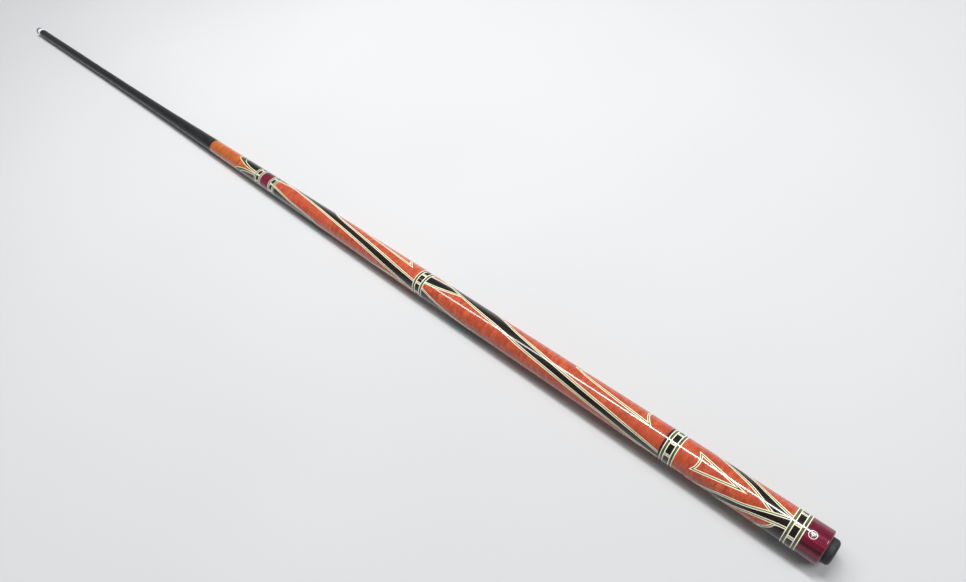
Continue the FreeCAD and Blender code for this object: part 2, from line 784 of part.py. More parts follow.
doc.recompute()
check_document()
os.makedirs("parts", exist_ok=True)
for item in sub_parts:
    item.Shape.exportStep(f"parts/{item.Label}.step")
    volume = item.Shape.Volume / 1000
    print(f"{item.Label}: {len(item.Shape.Solids)} solids, {volume:.2f} cm3")
print(f"{len(sub_parts)} sub-parts")
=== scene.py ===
import math

import bpy
from mathutils import Matrix, Vector
from mathutils.geometry import delaunay_2d_cdt


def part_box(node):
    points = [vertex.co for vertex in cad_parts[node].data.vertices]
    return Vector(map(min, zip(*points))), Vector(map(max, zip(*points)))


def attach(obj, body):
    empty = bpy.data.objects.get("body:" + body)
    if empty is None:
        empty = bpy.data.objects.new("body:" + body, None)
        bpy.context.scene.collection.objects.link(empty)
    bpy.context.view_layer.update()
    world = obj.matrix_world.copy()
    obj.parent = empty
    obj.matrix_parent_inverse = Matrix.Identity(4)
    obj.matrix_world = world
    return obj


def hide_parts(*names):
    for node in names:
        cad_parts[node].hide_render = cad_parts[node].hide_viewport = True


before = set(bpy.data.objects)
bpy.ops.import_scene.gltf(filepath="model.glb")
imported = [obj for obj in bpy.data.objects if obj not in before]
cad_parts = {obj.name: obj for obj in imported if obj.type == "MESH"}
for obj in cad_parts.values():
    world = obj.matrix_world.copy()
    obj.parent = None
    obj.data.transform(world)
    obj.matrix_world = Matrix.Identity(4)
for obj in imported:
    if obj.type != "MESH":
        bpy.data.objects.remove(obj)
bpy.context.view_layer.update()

# A two-piece pool cue. Its axis is +X, from the bumper to the tip. Lengths in
# this script are in millimetres, and become metres when a mesh is made. Angles
# are in degrees, from +Y (0) up through +Z (90).

MM = 0.001


# Places -------------------------------

def near_end(node):
    """Where a CAD node starts along the axis, in millimetres."""
    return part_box(node)[0].x / MM


def far_end(node):
    """Where a CAD node ends along the axis, in millimetres."""
    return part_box(node)[1].x / MM


def outer_radius(node):
    """A CAD node's largest radius, in millimetres."""
    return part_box(node)[1].z / MM


CAP_START = near_end("butt_cap")
RING_FIVE_START = near_end("ring_five_pale_discs")
SLEEVE_START = near_end("butt_sleeve")
RING_FOUR_START = near_end("ring_four_pale_discs")
DARK_RING_START = near_end("handle_dark_ring")
HANDLE_START = near_end("handle")
RING_THREE_START = near_end("ring_three_pale_discs")
FOREARM_START = near_end("forearm")
RING_TWO_START = near_end("ring_two_pale_discs")
COLLAR_START = near_end("joint_collar")
JOINT_FACE = far_end("joint_collar")
BASE_START = near_end("shaft_base")
DARK_TRIM_START = near_end("shaft_dark_trim")
TUBE_START = near_end("carbon_tube")
FERRULE_START = near_end("ferrule")
TIP_START = near_end("leather_tip")
TIP_TOP = far_end("leather_tip")

CAP_RADIUS = outer_radius("butt_cap")
JOINT_RADIUS = 10.8
TIP_RADIUS = outer_radius("leather_tip")

CAP_EDGE = 1.8
CAP_EDGE_STEPS = 7


def cap_edge_corners():
    """The cap's rounded rear edge, as corners of the outline."""
    turns = [math.pi / 2 * n / CAP_EDGE_STEPS for n in range(CAP_EDGE_STEPS + 1)]
    return [(CAP_START + CAP_EDGE * (1 - math.cos(turn)), CAP_RADIUS - CAP_EDGE * (1 - math.sin(turn)))
            for turn in turns]


# The outline's corners: where each is, and its radius there.
OUTLINE = [
    *cap_edge_corners(),
    (RING_FIVE_START, CAP_RADIUS),
    (HANDLE_START, 14.6),
    (300.0, 14.2),
    (FOREARM_START, 13.8),
    (600.0, 12.5),
    (JOINT_FACE, JOINT_RADIUS),
    (TUBE_START, 9.2),
    (1000.0, 7.2),
    (1120.0, 6.4),
    (1220.0, TIP_RADIUS),
    (TIP_TOP, TIP_RADIUS),
]
CORE_RADIUS = 8.0
SHAFT_CORE_RADIUS = 6.8

TURN_STEP = 4.0


def outline_radius(place):
    """The cue's outer radius at a place on the axis."""
    for (start, start_radius), (end, end_radius) in zip(OUTLINE, OUTLINE[1:]):
        if place <= end:
            share = (place - start) / (end - start)
            return start_radius + share * (end_radius - start_radius)
    return OUTLINE[-1][1]


def outline_corners(start, end):
    """The places between two others where the outline's taper changes."""
    return [place for place, radius in OUTLINE if start < place < end]


# Meshes -------------------------------

def turned_point(place, radius, angle):
    """A point at a place on the axis, a radius and an angle round it."""
    turn = math.radians(angle)
    return Vector((place, radius * math.cos(turn), radius * math.sin(turn)))


def turned_normal(place, angle):
    """The direction that the cue's outer surface faces."""
    step = 0.01
    slope = (outline_radius(place + step) - outline_radius(place - step)) / (2 * step)
    return turned_point(-slope, 1, angle).normalized()


def add_object(name, data):
    """A new object in the scene."""
    item = bpy.data.objects.new(name, data)
    bpy.context.scene.collection.objects.link(item)
    return item


class Piece:
    """A mesh in the making, with the normals of its turned faces kept exact."""

    def __init__(self):
        self.points = []
        self.known = {}
        self.faces = []
        self.normals = []
        self.slots = []

    def begin_solid(self):
        """Start a solid that shares no points with the ones before it."""
        self.known = {}

    def point(self, place, radius, angle):
        """The number of the point there, which is made if it's new."""
        at = turned_point(place, radius, angle)
        key = tuple(round(value, 4) for value in at)
        if key not in self.known:
            self.known[key] = len(self.points)
            self.points.append(at * MM)
        return self.known[key]

    def within(self, corners, radius):
        """The points at (place, angle) corners, all at one radius."""
        return [self.point(place, radius, angle) for place, angle in corners]

    def sunk(self, corners, depth=0.0):
        """The points at (place, angle) corners, a depth below the cue's surface."""
        return [self.point(place, outline_radius(place) - depth, angle) for place, angle in corners]

    def face(self, corners, slot=0, normals=None):
        """A face through numbered points; without normals it is flat."""
        kept = [n for n, corner in enumerate(corners) if corner != corners[n - 1]]
        if len(kept) < 3:
            return
        self.faces.append([corners[n] for n in kept])
        self.normals.append([normals[n] for n in kept] if normals else None)
        self.slots.append(slot)

    def outside(self, corners, slot=0, depth=0.0):
        """A face through (place, angle) corners on the cue's surface, or a depth below it."""
        normals = [turned_normal(place, angle) for place, angle in corners]
        self.face(self.sunk(corners, depth), slot, normals)

    def finish(self, name, body, materials, slot, replaced, smooth=None):
        """Make the object, which rides on a body and replaces CAD nodes.

        With a smooth angle, faces that meet below it are shaded as one.
        """
        mesh = bpy.data.meshes.new(name)
        mesh.from_pydata(self.points, [], self.faces)
        for item in materials:
            mesh.materials.append(item)
        mesh.polygons.foreach_set("material_index", self.slots)
        mesh.shade_smooth()
        if smooth:
            mesh.set_sharp_from_angle(angle=math.radians(smooth))
        else:
            corner_normals = []
            for polygon, normals in zip(mesh.polygons, self.normals):
                corner_normals.extend(normals or [polygon.normal.copy()] * len(polygon.vertices))
            mesh.normals_split_custom_set(corner_normals)
        item = add_object(name, mesh)
        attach(item, body)
        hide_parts(*replaced)


def turned(name, profile, body, material, slot, replaced, step=TURN_STEP, smooth=30):
    """A closed profile of (place, radius) corners turned round the axis."""
    piece = Piece()
    for (place, radius), (after, after_radius) in zip(profile, profile[1:] + profile[:1]):
        for n in range(round(360 / step)):
            low, high = n * step, (n + 1) * step
            near = piece.within([(place, low), (place, high)], radius)
            far = piece.within([(after, high), (after, low)], after_radius)
            piece.face(near + far)
    piece.finish(name, body, [material], slot, replaced, smooth)


def shell_profile(start, end, bore):
    """The profile of a section of the cue, between its outline and its bore."""
    places = [start, *outline_corners(start, end), end]
    return [(place, outline_radius(place)) for place in places] + [(end, bore), (start, bore)]


def arc(centre, radius, low, high, steps):
    """Corners along a round edge, about a centre (place, radius) of the profile."""
    turns = [math.radians(low + (high - low) * n / steps) for n in range(steps + 1)]
    return [(centre[0] + radius * math.cos(turn), centre[1] + radius * math.sin(turn)) for turn in turns]


def ring_sector(piece, start, end, bore, low=0, high=360, slot=0):
    """Add a block of the cue between two angles to a piece, or a whole ring of it."""
    piece.begin_solid()
    steps = max(1, math.ceil((high - low) / TURN_STEP))
    angles = [low + (high - low) * n / steps for n in range(steps + 1)]
    for a, b in zip(angles, angles[1:]):
        corners = [(start, a), (start, b), (end, b), (end, a)]
        piece.outside(corners, slot)
        top = piece.sunk(corners)
        base = piece.within(corners, bore)
        piece.face(base[::-1], slot)
        piece.face([base[0], base[1], top[1], top[0]], slot)
        piece.face([base[2], base[3], top[3], top[2]], slot)
    if high - low < 360:
        for angle, order in ((low, 1), (high, -1)):
            line = [(start, angle), (end, angle)]
            side = piece.sunk(line) + piece.within(line[::-1], bore)
            piece.face(side[::order], slot)


# Lines on the turned surface ----------

LINE_SPACING = 1.5


def smooth_line(points, section_start):
    """A smooth line of close points, through (distance from a section's start, angle) points."""
    points = [(section_start + distance, angle) for distance, angle in points]
    padded = [points[0], *points, points[-1]]
    line = []
    for before, start, end, after in zip(padded, padded[1:], padded[2:], padded[3:]):
        length = math.dist(flat(start), flat(end))
        steps = max(1, math.ceil(length / LINE_SPACING))
        for n in range(steps):
            line.append(between(before, start, end, after, n / steps))
    return [*line, points[-1]]


def between(before, start, end, after, share):
    """A point of a Catmull-Rom curve, some share of the way from start to end."""
    square = share * share
    cube = square * share
    weights = (
        (-cube + 2 * square - share) / 2,
        (3 * cube - 5 * square + 2) / 2,
        (-3 * cube + 4 * square + share) / 2,
        (cube - square) / 2,
    )
    corners = (before, start, end, after)
    return tuple(sum(w * corner[axis] for w, corner in zip(weights, corners)) for axis in (0, 1))


def flat(point):
    """A (place, angle) point on the unrolled surface, in millimetres both ways."""
    place, angle = point
    return place, math.radians(angle) * outline_radius(place)


def beside(line, distance):
    """A line moved sideways by a distance along the surface, with sharp corners kept."""
    moved = []
    for n, (place, angle) in enumerate(line):
        nearby = line[max(n - 1, 0):n + 2]
        sides = []
        for a, b in zip(nearby, nearby[1:]):
            along = (b[0] - a[0], math.radians(b[1] - a[1]) * outline_radius(place))
            length = math.hypot(*along)
            sides.append((-along[1] / length, along[0] / length))
        first, second = sides[0], sides[-1]
        scale = distance / (1 + first[0] * second[0] + first[1] * second[1])
        across = ((first[0] + second[0]) * scale, (first[1] + second[1]) * scale)
        moved.append((place + across[0], angle + math.degrees(across[1] / outline_radius(place))))
    return moved


def mirrored(points, centre):
    """A line reflected about an angle."""
    return [(place, 2 * centre - angle) for place, angle in points]


def ogive(half_widths, centre, section_start):
    """A smooth line round a shape with these half widths, symmetric about an angle."""
    upper = [(distance, centre + half) for distance, half in half_widths]
    return smooth_line(upper + mirrored(upper, centre)[-2::-1], section_start)


# Inlaid sections ----------------------

WOOD, EBONY, PALE, GREEN = "wood", "ebony", "pale", "green"
VENEER_WIDTH = 2.3
GREEN_SHARE = 0.34
INLAY_DEPTH = 2.2
STATION_SPACING = 12.0
MERGE_DISTANCE = 0.002

# An arrow's lines are made this much longer, and its middle reaches this far, to meet.
LENGTHENED_BY = 12.0
MIDDLE_REACH = 200.0


def veneer_strip(line):
    """The layers of a veneer strip along a line: pale, green and pale."""
    outer = VENEER_WIDTH / 2
    inner = outer * GREEN_SHARE
    edges = [beside(line, distance) for distance in (-outer, -inner, inner, outer)]
    kinds = (PALE, GREEN, PALE)
    return [(kind, low + high[::-1]) for kind, low, high in zip(kinds, edges, edges[1:])]


def band(start, low, high, veneered=(True, True)):
    """An ebony band between two lines of a section, with veneer along its edges."""
    low = smooth_line(low, start)
    high = smooth_line(high, start)
    regions = []
    for line, wanted in ((low, veneered[0]), (high, veneered[1])):
        if wanted:
            regions += veneer_strip(line)
    return [*regions, (EBONY, low + high[::-1])]


def arrow(start, limb, base, centre):
    """An outlined arrowhead, symmetric about an angle.

    Its limb runs from the tip to a barb, and its curved base from there to the middle.
    """
    limb = lengthened(smooth_line(limb, start))
    base = lengthened(smooth_line(base, start))
    middle = [(base[0][0] - MIDDLE_REACH, centre), (base[0][0] + MIDDLE_REACH, centre)]
    outer = VENEER_WIDTH / 2
    inner = outer * GREEN_SHARE
    inside = -1 if signed_area([*limb, *base]) > 0 else 1
    regions = []
    for kind, distance in ((WOOD, -outer), (PALE, -inner), (GREEN, inner), (PALE, outer)):
        side = beside(limb, distance * inside)
        back = beside(base, distance * inside)
        first, top = meeting(side, middle)
        last, barb = meeting(side[first:], back, backwards=True)
        back_first = meeting(back, side)[0]
        back_last, end = meeting(back[back_first:], middle)
        half = [top, *side[first + 1:first + last + 1], barb]
        half += [*back[back_first + 1:back_first + back_last + 1], end]
        regions.append((kind, half + mirrored(half, centre)[-2:0:-1]))
    return regions


def lengthened(line):
    """A line made longer at both ends, straight on."""
    ends = []
    for end, before in ((line[0], line[1]), (line[-1], line[-2])):
        share = LENGTHENED_BY / math.dist(flat(end), flat(before))
        ends.append(tuple(a + share * (a - b) for a, b in zip(end, before)))
    return [ends[0], *line, ends[1]]


def meeting(first, second, backwards=False):
    """Where two lines cross: the number of the first one's segment, and the point."""
    found = []
    for n, (a, b) in enumerate(zip(first, first[1:])):
        for c, d in zip(second, second[1:]):
            along = (b[0] - a[0], b[1] - a[1])
            across = (d[0] - c[0], d[1] - c[1])
            spread = along[0] * across[1] - along[1] * across[0]
            if abs(spread) < 1e-12:
                continue
            gap = (c[0] - a[0], c[1] - a[1])
            here = (gap[0] * across[1] - gap[1] * across[0]) / spread
            there = (gap[0] * along[1] - gap[1] * along[0]) / spread
            if 0 <= here <= 1 and 0 <= there <= 1:
                found.append((n, (a[0] + here * along[0], a[1] + here * along[1])))
    return found[-1 if backwards else 0]


def signed_area(points):
    """Twice a closed line's area, positive when it runs anticlockwise."""
    pairs = zip(points, points[1:] + points[:1])
    return sum(a[0] * b[1] - b[0] * a[1] for a, b in pairs)


def divide(start, end, regions, copies):
    """Divide a section's surface into triangles, each of one kind of material.

    Regions are (kind, outline) or (kind, outline, its own number of copies), and
    an earlier one lies over later ones.
    """
    scale = math.radians(outline_radius((start + end) / 2))
    points = []
    edges = []
    outlines = []
    kinds = []

    def add_line(line):
        first = len(points)
        points.extend(Vector((place, angle * scale)) for place, angle in line)
        return list(range(first, len(points)))

    stations = {start, end, *outline_corners(start, end)}
    steps = max(1, round((end - start) / STATION_SPACING))
    stations.update(start + (end - start) * n / steps for n in range(steps))
    for place in sorted(stations):
        edges.append(add_line([(place, 0), (place, 360)]))
    for n in range(round(360 / TURN_STEP) + 1):
        edges.append(add_line([(start, n * TURN_STEP), (end, n * TURN_STEP)]))
    for kind, outline, *own_copies in regions:
        count = own_copies[0] if own_copies else copies
        if signed_area(outline) < 0:
            outline = outline[::-1]
        low = min(angle for place, angle in outline)
        high = max(angle for place, angle in outline)
        for n in range(-count, 2 * count + 1):
            turn = 360 / count * n
            if low + turn < 360 and high + turn > 0:
                outlines.append(add_line([(place, angle + turn) for place, angle in outline]))
                kinds.append(kind)
    made, _, faces, _, _, sources = delaunay_2d_cdt(points, edges, outlines, 0, MERGE_DISTANCE)
    places = [(point.x, point.y / scale) for point in made]
    triangles = []
    for corners, inside in zip(faces, sources):
        centre_place = sum(places[n][0] for n in corners) / 3
        centre_angle = sum(places[n][1] for n in corners) / 3
        if start < centre_place < end and 0 < centre_angle < 360:
            kind = kinds[min(inside)] if inside else WOOD
            triangles.append((kind, [places[n] for n in corners]))
    return triangles


def inlay_piece(triangles, kinds_wanted, depth):
    """The solids of some kinds of material, from the surface down to a depth."""
    piece = Piece()
    for slot, kind in enumerate(kinds_wanted):
        mine = [corners for found, corners in triangles if found == kind]
        add_slab(piece, mine, slot, depth)
    return piece


def key_of(point):
    """A point's place and angle, rounded, and the same on both sides of the seam."""
    return round(point[0], 3), round(point[1] % 360, 3) % 360


def border(triangles):
    """The edges that only one of the triangles has, in that triangle's order."""
    seen = {}
    for corners in triangles:
        for a, b in zip(corners, corners[1:] + corners[:1]):
            seen[key_of(a), key_of(b)] = (a, b)
    return [edge for (a, b), edge in seen.items() if (b, a) not in seen]


def add_slab(piece, triangles, slot, depth):
    """Add a closed slab with the triangles as its top."""
    piece.begin_solid()
    for corners in triangles:
        piece.outside(corners[::-1], slot)
        piece.face(piece.sunk(corners, depth), slot)
    for edge in border(triangles):
        piece.face(piece.sunk(edge) + piece.sunk(edge[::-1], depth), slot)


def pocketed_piece(triangles, depth, bore):
    """The wood of a section: its surface, the inlays' pockets, its ends and its bore."""
    piece = Piece()
    for kind, corners in triangles:
        piece.outside(corners[::-1], 0, 0 if kind == WOOD else depth)
        to_axis = [turned_point(0, -1, angle) for place, angle in corners]
        piece.face(piece.within(corners, bore), 0, to_axis)
    for edge in border([corners for kind, corners in triangles if kind == WOOD]):
        piece.face(piece.sunk(edge) + piece.sunk(edge[::-1], depth))
    for edge in border([corners for kind, corners in triangles]):
        piece.face(piece.sunk(edge, depth) + piece.within(edge[::-1], bore))
    return piece


# Materials ----------------------------

def add_node(tree, kind, inputs=None, **settings):
    """A node with its settings, and its inputs linked or given a value."""
    node = tree.nodes.new(kind)
    for name, value in settings.items():
        setattr(node, name, value)
    for socket, value in (inputs or {}).items():
        if isinstance(value, bpy.types.NodeSocket):
            tree.links.new(value, node.inputs[socket])
        else:
            node.inputs[socket].default_value = value
    return node


class Shader:
    """A material made of nodes, on the object's own coordinates in metres."""

    def __init__(self, name, **surface):
        self.material = bpy.data.materials.new(name)
        self.material.use_nodes = True
        self.tree = self.material.node_tree
        self.surface = self.tree.nodes["Principled BSDF"]
        for socket, value in surface.items():
            self.surface.inputs[socket.replace("_", " ")].default_value = value
        self.place = self.add("ShaderNodeTexCoord").outputs["Object"]

    def add(self, kind, inputs=None, **settings):
        """A node of this material."""
        return add_node(self.tree, kind, inputs, **settings)

    def noise(self, along, across, offset=(0, 0, 0), upward=None, detail=3.0, roughness=0.5,
              distortion=0.0):
        """Noise from 0 to 1, with its scale along the cue's axis and across it, per metre."""
        vector = self.add("ShaderNodeMapping", {
            "Vector": self.place, "Scale": (along, across, upward or across), "Location": offset,
        }).outputs["Vector"]
        return self.add("ShaderNodeTexNoise", {
            "Vector": vector, "Scale": 1.0, "Detail": detail, "Roughness": roughness,
            "Distortion": distortion,
        }).outputs["Fac"]

    def ramp(self, value, *stops):
        """A colour from a value, through (position, colour) stops."""
        node = self.add("ShaderNodeValToRGB", {"Fac": value})
        elements = node.color_ramp.elements
        while len(elements) < len(stops):
            elements.new(0.5)
        for element, (position, colour) in zip(elements, stops):
            element.position = position
            element.color = (*colour, 1)
        return node.outputs["Color"]

    def between(self, value, low, high, to_low=0.0, to_high=1.0):
        """A value moved smoothly from one range to another."""
        return self.add("ShaderNodeMapRange", {
            "Value": value, "From Min": low, "From Max": high, "To Min": to_low, "To Max": to_high,
        }, interpolation_type="SMOOTHSTEP").outputs["Result"]

    def mix(self, share, first, second):
        """Two colours mixed."""
        first, second = [(*value, 1) if isinstance(value, tuple) else value for value in (first, second)]
        return self.add("ShaderNodeMix", {0: share, 6: first, 7: second}, data_type="RGBA").outputs[2]

    def sums(self, operation, first, second=0.0):
        """Arithmetic on values."""
        return self.add("ShaderNodeMath", {0: first, 1: second}, operation=operation).outputs[0]

    def weighted(self, *terms):
        """Two values added, each multiplied by its weight."""
        return self.sums("ADD", *(self.sums("MULTIPLY", value, weight) for value, weight in terms))

    def bump(self, height, depth, strength, under=None):
        """A bumped normal, with a depth in metres."""
        inputs = {"Height": height, "Distance": depth, "Strength": strength}
        if under is not None:
            inputs["Normal"] = under
        return self.add("ShaderNodeBump", inputs).outputs["Normal"]

    def to(self, socket, value):
        """Link a value, colour or normal to the surface."""
        self.tree.links.new(value, self.surface.inputs[socket])
        return self


CLEAR_COAT = {
    "Coat_Weight": 1.0, "Coat_Roughness": 0.035, "Coat_IOR": 1.5, "IOR": 1.35, "Specular_IOR_Level": 0.2,
}


def figured_maple(name, deep, middle, bright, curl_contrast):
    """Stained maple: curl across the grain, fine grain along it, and uneven stain."""
    shader = Shader(name, Roughness=0.42, **CLEAR_COAT)
    drift = shader.noise(14, 60, detail=2.0)
    curl = shader.noise(230, 80, detail=2.5, roughness=0.55, distortion=0.35)
    ripple = shader.noise(700, 260, (3, 5, 7), detail=2.5)
    grain = shader.noise(26, 1500, roughness=0.6)
    vessels = shader.noise(90, 3600, (9, 2, 4), detail=2.0, roughness=0.7)
    figure = shader.weighted((curl, 0.58), (ripple, 0.42))
    figure = shader.between(figure, 0.5 - curl_contrast, 0.5 + curl_contrast)
    stain = shader.ramp(figure, (0.0, deep), (0.5, middle), (1.0, bright))
    streaked = shader.mix(shader.between(grain, 0.35, 0.72, 0.0, 0.42), stain, deep)
    uneven = shader.mix(shader.between(drift, 0.35, 0.75, 0.0, 0.5), streaked, middle)
    pores = shader.between(vessels, 0.60, 0.78, 0.0, 0.5)
    colour = shader.mix(pores, uneven, tuple(channel * 0.55 for channel in deep))
    shader.to("Base Color", colour)
    shader.to("Roughness", shader.between(figure, 0.0, 1.0, 0.48, 0.34))
    shader.to("Normal", shader.bump(figure, 0.00008, 0.25))
    return shader.material


def striped_wood(name):
    """Crimson wood: thin dyed layers that run along the cue in close dark and bright lines."""
    shader = Shader(name, Roughness=0.45, **CLEAR_COAT)
    lines = shader.noise(5, 1250, upward=420, detail=2.5, roughness=0.6)
    broad = shader.noise(3, 330, (4, 1, 8), upward=120, detail=2.0)
    flecks = shader.noise(120, 2600, (2, 6, 3), detail=2.0)
    mixed = shader.weighted((lines, 0.65), (broad, 0.35))
    dyed = shader.ramp(mixed, (0.36, (0.018, 0.002, 0.006)), (0.46, (0.085, 0.004, 0.016)),
                       (0.54, (0.190, 0.006, 0.026)), (0.64, (0.380, 0.016, 0.054)))
    colour = shader.mix(shader.between(flecks, 0.58, 0.8, 0.0, 0.45), dyed, (0.02, 0.002, 0.008))
    shader.to("Base Color", colour)
    shader.to("Roughness", shader.between(lines, 0.3, 0.7, 0.5, 0.38))
    return shader.material


def fine_wood(name, deep, bright, across=1900, bare=False):
    """A wood or veneer with straight fine grain, clear coated unless it is bare."""
    shader = Shader(name, Roughness=0.42, **({"IOR": 1.4} if bare else CLEAR_COAT))
    grain = shader.noise(22, across, detail=4.0, roughness=0.62)
    patches = shader.noise(30, 160, (7, 3, 1), detail=2.0)
    share = shader.weighted((grain, 0.75), (patches, 0.25))
    shader.to("Base Color", shader.ramp(share, (0.36, deep), (0.64, bright)))
    shader.to("Roughness", shader.between(grain, 0.3, 0.7, 0.5, 0.36))
    if bare:
        shader.to("Normal", shader.bump(grain, 0.0001, 0.6))
    return shader.material


def rubber():
    """Moulded black rubber: matte, with a fine skin and a little dust."""
    shader = Shader("bumper_rubber", Roughness=0.6, Specular_IOR_Level=0.35)
    skin = shader.noise(1600, 1600)
    dust = shader.noise(170, 170, (5, 2, 9), roughness=0.6)
    shade = shader.ramp(dust, (0.35, (0.013, 0.015, 0.016)), (0.7, (0.030, 0.034, 0.035)))
    shader.to("Base Color", shade)
    shader.to("Roughness", shader.between(dust, 0.3, 0.75, 0.5, 0.72))
    return shader.to("Normal", shader.bump(skin, 0.00006, 0.7)).material


BUNDLES_ROUND = 10
BUNDLES_PER_METRE = 95


def carbon():
    """A satin carbon tube: dark, with fibre bundles wound at two slants under a thin resin."""
    shader = Shader("carbon_fibre", Roughness=0.36, Specular_IOR_Level=0.35, IOR=1.45)
    parts = shader.add("ShaderNodeSeparateXYZ", {"Vector": shader.place})
    turn = shader.sums("ARCTAN2", parts.outputs["Z"], parts.outputs["Y"])
    turns = shader.sums("DIVIDE", turn, 2 * math.pi)
    slants = []
    for bundles in (BUNDLES_ROUND, -BUNDLES_ROUND):
        phase = shader.weighted((turns, bundles), (parts.outputs["X"], BUNDLES_PER_METRE))
        slants.append(shader.sums("SINE", shader.sums("MULTIPLY", phase, 2 * math.pi)))
    weave = shader.sums("MULTIPLY", *slants)
    fibres = shader.noise(40, 2800, roughness=0.7)
    cloud = shader.noise(55, 130, (1, 8, 5), detail=4.0, roughness=0.6)
    shade = shader.ramp(fibres, (0.35, (0.0035, 0.0038, 0.004)), (0.68, (0.012, 0.0125, 0.013)))
    lit = shader.mix(shader.between(weave, -0.6, 0.8, 0.0, 0.5), shade, (0.018, 0.019, 0.019))
    dusty = shader.between(cloud, 0.42, 0.72, 0.0, 0.5)
    shader.to("Base Color", shader.mix(dusty, lit, (0.024, 0.0235, 0.0215)))
    sanded = shader.between(weave, -1.0, 1.0, 0.33, 0.43)
    shader.to("Roughness", shader.sums("ADD", sanded, shader.between(cloud, 0.4, 0.7, -0.05, 0.09)))
    skin = shader.bump(weave, 0.00003, 0.5)
    return shader.to("Normal", shader.bump(fibres, 0.00002, 0.5, under=skin)).material


def resin(name, colour, roughness, speckle):
    """A hard resin or plastic with faint clouds and fine turning marks."""
    shader = Shader(name, Roughness=roughness, Specular_IOR_Level=0.5)
    cloud = shader.noise(130, 130)
    marks = shader.noise(5200, 30, detail=2.0)
    darker = tuple(channel * (1 - speckle) for channel in colour)
    shader.to("Base Color", shader.ramp(cloud, (0.35, darker), (0.65, colour)))
    shader.to("Roughness", shader.between(marks, 0.3, 0.7, roughness * 0.85, roughness * 1.25))
    return shader.to("Normal", shader.bump(marks, 0.00001, 0.4)).material


def leather():
    """The tip: pressed layers of dark leather, with blue chalk on the crown."""
    shader = Shader("tip_leather", Roughness=0.85, Specular_IOR_Level=0.2)
    layers = shader.noise(2100, 60, detail=1.0)
    fibre = shader.noise(1800, 1800, detail=5.0, roughness=0.7)
    chalk = shader.noise(330, 330, (6, 1, 2))
    hide = shader.ramp(layers, (0.38, (0.050, 0.034, 0.024)), (0.62, (0.135, 0.095, 0.066)))
    along = shader.add("ShaderNodeSeparateXYZ", {"Vector": shader.place}).outputs["X"]
    crown = shader.between(along, (TIP_START + 3.0) * MM, (TIP_START + 5.2) * MM)
    dusted = shader.sums("MULTIPLY", crown, shader.between(chalk, 0.3, 0.6, 0.65, 1.0))
    shader.to("Base Color", shader.mix(dusted, hide, (0.085, 0.200, 0.360)))
    return shader.to("Normal", shader.bump(fibre, 0.00012, 0.8)).material


def metal(name, colour, roughness):
    """Machined metal, with cutting marks round the axis and light handling wear."""
    shader = Shader(name, Metallic=1.0, Roughness=roughness)
    marks = shader.noise(3800, 60, roughness=0.6)
    wear = shader.noise(240, 240, (3, 3, 8))
    darker = tuple(channel * 0.72 for channel in colour)
    shader.to("Base Color", shader.ramp(wear, (0.3, darker), (0.62, colour)))
    shader.to("Roughness", shader.between(marks, 0.3, 0.7, roughness * 0.7, roughness * 1.5))
    return shader.to("Normal", shader.bump(marks, 0.00001, 0.5)).material


def foam():
    """Light expanded foam, with open cells."""
    shader = Shader("foam", Roughness=0.9, Specular_IOR_Level=0.2)
    cells = shader.add("ShaderNodeTexVoronoi", {"Vector": shader.place, "Scale": 1500.0})
    shader.to("Base Color", shader.ramp(cells.outputs["Distance"], (0.1, (0.78, 0.72, 0.56)),
                                        (0.7, (0.50, 0.44, 0.31))))
    return shader.to("Normal", shader.bump(cells.outputs["Distance"], 0.0003, 0.8)).material


STAINED_MAPLE = figured_maple("stained_maple", (0.290, 0.038, 0.017), (0.460, 0.074, 0.029),
                              (0.630, 0.135, 0.058), 0.22)
AMBER_MAPLE = figured_maple("amber_maple", (0.280, 0.052, 0.012), (0.450, 0.104, 0.019),
                            (0.600, 0.180, 0.036), 0.20)
CRIMSON_WOOD = striped_wood("crimson_wood")
EBONY_WOOD = fine_wood("ebony", (0.003, 0.002, 0.002), (0.016, 0.009, 0.007))
PALE_VENEER = fine_wood("pale_veneer", (0.84, 0.79, 0.50), (0.97, 0.94, 0.70))
GREEN_VENEER = fine_wood("green_veneer", (0.012, 0.026, 0.008), (0.050, 0.085, 0.030))
GREEN_BAND = fine_wood("green_band", (0.010, 0.022, 0.008), (0.130, 0.175, 0.085), across=1100)
PALE_DISC = fine_wood("pale_disc", (0.86, 0.83, 0.60), (0.97, 0.95, 0.76))
PLAIN_MAPLE = fine_wood("plain_maple", (0.46, 0.30, 0.16), (0.72, 0.55, 0.36), bare=True)
DARK_TRIM = fine_wood("dark_trim", (0.012, 0.003, 0.004), (0.050, 0.010, 0.012))
PEARL = resin("pearl_inlay", (0.86, 0.85, 0.82), 0.22, 0.12)
RUBBER = rubber()
CARBON = carbon()
FERRULE = resin("ferrule_resin", (0.86, 0.85, 0.81), 0.25, 0.04)
TIP_LEATHER = leather()
STEEL = metal("steel", (0.62, 0.62, 0.63), 0.28)
BRASS = metal("brass", (0.80, 0.58, 0.25), 0.25)
NYLON = resin("nylon", (0.84, 0.84, 0.80), 0.5, 0.05)
FOAM = foam()


# The butt -----------------------------

def set_finish(node, material):
    """Give a CAD node that stays its material."""
    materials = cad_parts[node].data.materials
    materials.clear()
    materials.append(material)


BUMPER_STEM = 7.8
BUMPER_RIBS = (11.0, 14.0, 17.0)


